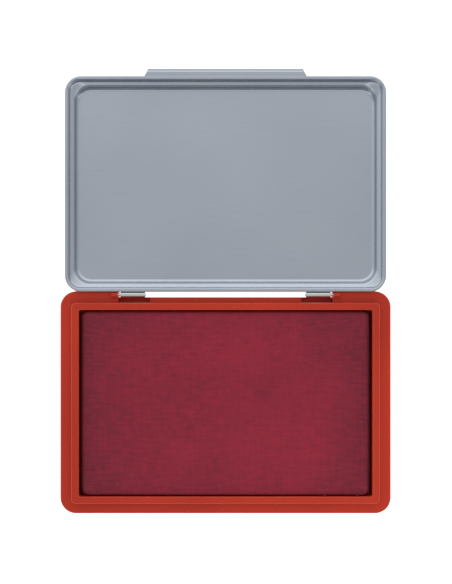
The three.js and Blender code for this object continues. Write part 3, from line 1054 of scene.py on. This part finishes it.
        # Vector noise follows the clock unless it is given a seed.
        noise.seed_set(self.lint_seed)
        curve = bpy.data.curves.new("cover_lint", "CURVE")
        curve.dimensions = "3D"
        curve.bevel_depth = self.lint_radius
        curve.bevel_resolution = 1
        curve.use_fill_caps = True
        front, top = self.low.y + 0.45 * MM, self.high.z - 0.75 * MM
        for along, i in ((along, i) for along, count in self.tufts for i in range(count)):
            sway = noise.noise_vector(Vector((along * 1000, i * 1.7, 0.3)))
            start = Vector((along + sway.x * 0.8 * MM, front, top))
            lift = Vector((sway.y * 0.6, -0.36 + 0.1 * sway.z, 0.75)) * MM
            tip = Vector((sway.z, -0.1, -0.2)) * 0.5 * MM
            spline = curve.splines.new("NURBS")
            spline.points.add(3)
            bends = [start, start + lift * 0.5, start + lift, start + lift + tip]
            for point, place in zip(spline.points, bends):
                point.co = (*place, 1)
            spline.use_endpoint_u = True
        drawn = put_in_scene("cover_lint", curve)
        graph = bpy.context.evaluated_depsgraph_get()
        mesh = bpy.data.meshes.new_from_object(drawn.evaluated_get(graph))
        bpy.data.objects.remove(drawn)
        with opened(mesh) as bm:
            bmesh.ops.remove_doubles(bm, verts=bm.verts, dist=WELD)
            bmesh.ops.recalc_face_normals(bm, faces=bm.faces)
        lint = put_in_scene("cover_lint", mesh)
        threads = mesh.attributes.new("threads", "FLOAT_VECTOR", "POINT")
        for mark, point in zip(threads.data, mesh.vertices):
            mark.vector = point.co
        dress(lint, INKED_CLOTH, "tray")
        return lint


# --- Hinge ---


@dataclass
class Hinge:
    """One end of the hinge: a steel leaf rolled into a knuckle, and the pin that it turns on."""

    side: Side
    tray: Tray
    leaf: float = 0.4 * MM
    tail: float = 2.6 * MM
    running_gap: float = 0.08 * MM
    wall_gap: float = 0.1 * MM
    under_rim: float = 0.35 * MM
    wrap: float = 285.0
    past_knuckle: float = 0.3 * MM
    buried: float = 2.1 * MM
    roll_steps: int = 30
    fold_angle: float = 25.0
    fold_length: float = 5 * MM
    fold_radius: float = 0.4 * MM
    cut_edge: float = 0.06 * MM
    pin_steps: int = 40
    pin_end: float = 0.15 * MM

    def build_leaf(self, lid: "Lid") -> Piece:
        """Builds the leaf: a tail on the lid's rear wall, an arm under the rim, and the roll."""
        axis, length = self.tray.hinge, self.tray.knuckle_length
        roll = self.tray.pin_radius + self.running_gap + self.leaf / 2
        bend_y = lid.rear + lid.rim - lid.sheet - axis.y - self.wall_gap - self.leaf / 2
        bend_z = lid.top - lid.rim - axis.z - self.under_rim - self.leaf / 2
        reach = math.hypot(bend_y, bend_z)
        tangent = math.atan2(bend_z, bend_y) - math.acos(roll / reach)
        left = self.side.value * self.tray.hinge_x - length / 2
        bm = new_mesh()
        start_y, start_z = axis.y + bend_y, axis.z + bend_z - self.tail
        strip = [bm.edges.new([bm.verts.new((left + x, start_y, start_z)) for x in (0, length)])]
        meets = Vector((0, roll * math.cos(tangent) - bend_y, roll * math.sin(tangent) - bend_z))
        for move in (Vector((0, 0, self.tail)), meets):
            strip = pull(bm, strip, move)
        bmesh.ops.spin(
            bm, geom=strip + [v for e in strip for v in e.verts], cent=axis, axis=(1, 0, 0),
            angle=-math.radians(self.wrap), steps=self.roll_steps, use_merge=False,
        )
        bmesh.ops.remove_doubles(bm, verts=bm.verts, dist=WELD)
        folds = [e for e in sharp_edges(bm, self.fold_angle) if e.calc_length() > self.fold_length]
        round_edges(bm, folds, self.fold_radius, 5)
        made = to_object(bm, f"leaf_{self.side.word}")
        thicken(made, self.leaf)
        with opened(made.data) as bm:
            bmesh.ops.recalc_face_normals(bm, faces=bm.faces)
            round_edges(bm, sharp_edges(bm, SQUARE_FOLD), self.cut_edge, 2)
        shade(made)
        dress(made, BARE_STEEL, "lid", f"hinge_leaf_{self.side.word}")
        return made

    def build_pin(self) -> Piece:
        """Builds the pin, with rounded ends."""
        tray = self.tray
        inner = tray.hinge_x - tray.knuckle_length / 2 - self.past_knuckle
        ends = self.side.span(inner, tray.lug_face + self.buried)
        bm = bar_along_x(tray.pin_radius, ends, tray.hinge, self.pin_steps)
        round_edges(bm, sharp_edges(bm, SQUARE_FOLD), self.pin_end, 4)
        made = to_object(bm, f"pin_{self.side.word}")
        shade(made)
        dress(made, BARE_STEEL, "tray", f"hinge_pin_{self.side.word}")
        return made


# --- Lid ---


def bend(inset: float, z: float, radius: float, start: float, end: float, steps: int) -> list[Span]:
    """A round stretch of the lid's section, as insets and heights.

    Args:
        inset: Where its centre is, in from the lid's outer edge.
        z: The height of its centre.
        radius: Its radius.
        start: The angle where it starts, in degrees: 0 is inwards and 90 is up.
        end: The angle where it ends.
        steps: The segments in it.

    Returns:
        Its points.
    """
    turn = (end - start) / steps
    angles = [math.radians(start + i * turn) for i in range(steps + 1)]
    return [(inset + radius * math.cos(a), z + radius * math.sin(a)) for a in angles]


@dataclass
class Lid:
    """The lid: one pressing with a rolled rim, a wall, a shoulder, a panel and a thumb lip."""

    sheet: float = 0.4 * MM
    rim: float = 1.4 * MM
    rim_bend: float = 0.42 * MM
    rim_corner: float = 6.2 * MM
    wall_corner: float = 3.97 * MM
    shoulder_depth: float = 4.7 * MM
    shoulder_width: float = 1.9 * MM
    shoulder_fillet: float = 0.6 * MM
    shoulder_edge: float = 0.8 * MM
    shoulder_slope: float = 25.0
    panel_corner: float = 6 * MM
    panel_cove: float = 1.5 * MM
    wall_draft: float = 0.2 * MM
    panel_draft: float = 0.15 * MM
    lip_length: float = 58.3 * MM
    lip_taper: float = 1.35 * MM
    lip_reach: float = 2.8 * MM
    lip_below_rim: float = 0.02 * MM
    lip_step: float = 0.26 * MM
    lip_step_width: float = 0.5 * MM
    lip_border: float = 0.7 * MM
    lip_turn: float = 0.75 * MM
    lip_bend: float = 0.22 * MM
    corner_steps: int = 16
    smooth_below: float = 21

    def __post_init__(self) -> None:
        """Takes the lid's place from the frame."""
        low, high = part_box("lid_shell")
        self.length = high.x - low.x
        self.rear, self.front = low.y, high.y - self.lip_reach
        self.width = self.front - self.rear
        self.middle_y = (self.front + self.rear) / 2
        self.top = high.z

    def corner_at(self, inset: float) -> float:
        """The corner radius at an inset: tight at the wall, wide at the rim and at the panel."""
        panel = self.rim + self.shoulder_width
        if inset <= self.rim:
            return self.rim_corner + (self.wall_corner - self.rim_corner) * (inset / self.rim)
        if inset <= panel:
            share = smooth_step(self.rim, panel, inset)
            return self.wall_corner + (self.panel_corner - self.wall_corner) * share
        return self.panel_corner - (inset - panel)

    def section(self) -> list[Span]:
        """The middle line of the sheet, from the end of the rolled rim inwards to the panel."""
        half = self.sheet / 2
        curl = self.rim_bend - half
        wall = self.rim - half
        shoulder = self.top - self.shoulder_depth - half
        panel = self.rim + self.shoulder_width
        fillet = self.shoulder_fillet + half
        edge = self.shoulder_edge - half
        cove = self.panel_cove + half
        fillet_x, edge_x = wall + self.wall_draft + fillet, panel - half - edge
        slope = math.radians(self.shoulder_slope)
        drop = (fillet + edge + (edge_x - fillet_x) * math.sin(slope)) / math.cos(slope)
        crest = self.top - self.rim_bend
        under = self.top - self.rim + self.rim_bend
        rows = [(self.rim / 2, under - curl)]
        rows += bend(self.rim_bend, under, curl, 270, 180, 5)
        rows += bend(self.rim_bend, crest, curl, 180, 90, 6)
        rows += bend(self.rim - self.rim_bend, crest, curl, 90, 0, 6)
        rows += bend(fillet_x, shoulder - edge + drop, fillet, 180, 270 - self.shoulder_slope, 6)
        rows += bend(edge_x, shoulder - edge, edge, 90 - self.shoulder_slope, 0, 6)
        rows += bend(panel - half + self.panel_draft + cove, half + cove, cove, 180, 270, 12)
        return rows

    def shell(self) -> Piece:
        """The pressing without its lip."""
        outlines = []
        for inset, z in self.section():
            length, width = self.length - 2 * inset, self.width - 2 * inset
            outlines.append(Outline(length, width, self.corner_at(inset), self.middle_y, z))
        made = to_object(loft(outlines, self.corner_steps, capped=False), "lid_pressing")
        thicken(made, self.sheet)
        return made

    def lip(self) -> Mesh:
        """The thumb lip: a flat flange on the front rim, with a lower border that is turned down."""
        level = self.top - self.lip_below_rim - self.sheet / 2
        start_y = self.front - self.rim / 2
        edge_y = self.front + self.lip_reach - self.sheet / 2
        step_y = edge_y - self.lip_border - self.lip_step_width
        half = self.lip_length / 2 + self.lip_taper
        bm = new_mesh()
        strip = [bm.edges.new([bm.verts.new((x, start_y, level)) for x in (-half, half)])]
        moves = [
            (Vector((0, self.rim / 2, 0)), 0.0),
            (Vector((0, step_y - self.front, 0)), 0.6),
            (Vector((0, self.lip_step_width, -self.lip_step)), 0.15),
            (Vector((0, self.lip_border, 0)), 0.25),
            (Vector((0, 0, -self.lip_turn)), 0.0),
        ]
        for move, taper in moves:
            strip = pull(bm, strip, move, taper * self.lip_taper)
        round_edges(bm, sharp_edges(bm, SQUARE_FOLD), self.lip_bend, 6)
        bmesh.ops.recalc_face_normals(bm, faces=bm.faces)
        flange = to_object(bm, "lip")
        thicken(flange, self.sheet)
        solid = bmesh.new()
        solid.from_mesh(flange.data)
        bmesh.ops.recalc_face_normals(solid, faces=solid.faces)
        bpy.data.objects.remove(flange)
        return solid

    def build(self) -> Piece:
        """Builds the pressing."""
        lid = self.shell()
        combine(lid, self.lip(), Cut.JOIN)
        shade(lid, self.smooth_below)
        dress(lid, LID_METAL, "lid", "lid_shell")
        return lid


# --- Studio ---


@dataclass
class Studio:
    """A pale floor, soft light that is strongest from the hinge side, and the camera overhead."""

    floor_radius: float = 30.0
    floor_drop: float = 0.2 * MM
    camera_height: float = 0.6
    camera_x: float = 0.17 * MM
    camera_y: float = 41.6 * MM
    lens: float = 96.85
    key_power: float = 0.5
    fill_power: float = 0.62
    sky: float = 1.25
    tint: tuple[float, float, float, float] = (0.965, 0.985, 1.0, 1.0)
    to_hinge: Triple = (-0.15, 0.99, 0.0)
    by_height: tuple[Span, ...] = ((0.0, 0.6), (0.2, 0.74), (0.5, 0.78), (0.85, 0.81), (1.0, 0.81))
    by_side: tuple[Span, ...] = (
        (0.0, 0.19), (0.13, 0.24), (0.2, 0.8), (0.27, 0.8),
        (0.35, 0.42), (0.5, 0.475), (0.75, 0.85), (1.0, 1.0),
    )

    def floor(self) -> None:
        """Lays the floor just under the object."""
        bm = new_mesh()
        place = Matrix.Translation((0, 0, -self.floor_drop))
        bmesh.ops.create_circle(bm, cap_ends=True, segments=96, radius=self.floor_radius, matrix=place)
        made = to_object(bm, "studio_floor")
        made.data.materials.append(self.paper())

    @staticmethod
    def paper() -> bpy.types.Material:
        """The floor's plain pale paper, lit a little from within so that shadows stay light."""
        made = bpy.data.materials.new("studio_paper")
        made.use_nodes = True
        Tree(made.node_tree).fill(made.node_tree.nodes["Principled BSDF"].inputs, {
            "Base Color": (0.9, 0.9, 0.9, 1),
            "Roughness": 0.9,
            "Specular IOR Level": 0.1,
            "Emission Color": (1, 1, 1, 1),
            "Emission Strength": 0.92,
        })
        return made

    def surroundings(self) -> None:
        """Lights the scene from all round: lighter towards the hinge side, darker towards the front."""
        world = bpy.data.worlds.new("studio")
        bpy.context.scene.world = world
        world.use_nodes = True
        tree = Tree(world.node_tree)
        direction = tree.node("ShaderNodeTexCoord").outputs["Generated"]
        height = tree.node("ShaderNodeSeparateXYZ", {0: direction}).outputs[2]
        facing = {0: direction, 1: self.to_hinge}
        facing = tree.node("ShaderNodeVectorMath", facing, operation="DOT_PRODUCT").outputs["Value"]
        ring = self.ramp(tree, height, self.by_height)
        side = self.ramp(tree, tree.spread(facing, WHOLE, (-1.0, 1.0)), self.by_side)
        light = tree.blend(tree.times(ring, side), (0, 0, 0, 1), self.tint)
        tree.fill(world.node_tree.nodes["Background"].inputs, {"Color": light, "Strength": self.sky})

    @staticmethod
    def ramp(tree: Tree, value: Socket, stops: Sequence[Span]) -> Socket:
        """A value that changes through some stops, each a position and a level of at most 1."""
        made = tree.node("ShaderNodeValToRGB", {0: value})
        elements = made.color_ramp.elements
        while len(elements) < len(stops):
            elements.new(0.5)
        for element, (position, level) in zip(elements, stops):
            element.position = position
            element.color = (level, level, level, 1)
        return made.outputs[0]

    def soft_box(self, name: str, place: Vector, size: Span, power: float) -> None:
        """Hangs one large soft light over the scene, which does not show in reflections."""
        data = bpy.data.lights.new(name, "AREA")
        data.shape = "RECTANGLE"
        data.size, data.size_y = size
        data.energy = power
        made = put_in_scene(name, data)
        made.location = place
        made.rotation_mode = "QUATERNION"
        made.rotation_quaternion = (Vector((0, self.camera_y, 0)) - place).to_track_quat("-Z", "Y")
        made.visible_glossy = False

    def camera(self) -> None:
        """Sets the camera straight above, with the hinge across the middle of the view."""
        data = bpy.data.cameras.new("camera")
        data.lens = self.lens
        data.sensor_width = 36
        data.clip_start = 0.01
        made = put_in_scene("camera", data)
        made.location = (self.camera_x, self.camera_y, self.camera_height)
        bpy.context.scene.camera = made

    def build(self) -> None:
        """Sets up the floor, the light and the camera."""
        self.floor()
        self.surroundings()
        self.soft_box("key", Vector((-0.25, 0.8, 1.3)), (1.1, 0.7), self.key_power)
        self.soft_box("fill", Vector((0.06, -0.34, 0.48)), (0.3, 0.3), self.fill_power)
        self.camera()
        bpy.context.scene.view_settings.view_transform = "Standard"


def main() -> None:
    """Builds every sub-assembly around the frame, in order."""
    logging.basicConfig(level=logging.INFO, format="%(name)s: %(message)s")
    Studio().build()
    tray = Tray()
    tray.build()
    pad = Pad()
    pad.build_board()
    pad.build_felt()
    pad.build_cover()
    pad.build_lint()
    lid = Lid()
    lid.build()
    for side in Side:
        hinge = Hinge(side, tray)
        hinge.build_pin()
        hinge.build_leaf(lid)


if __name__ == "__main__":
    main()
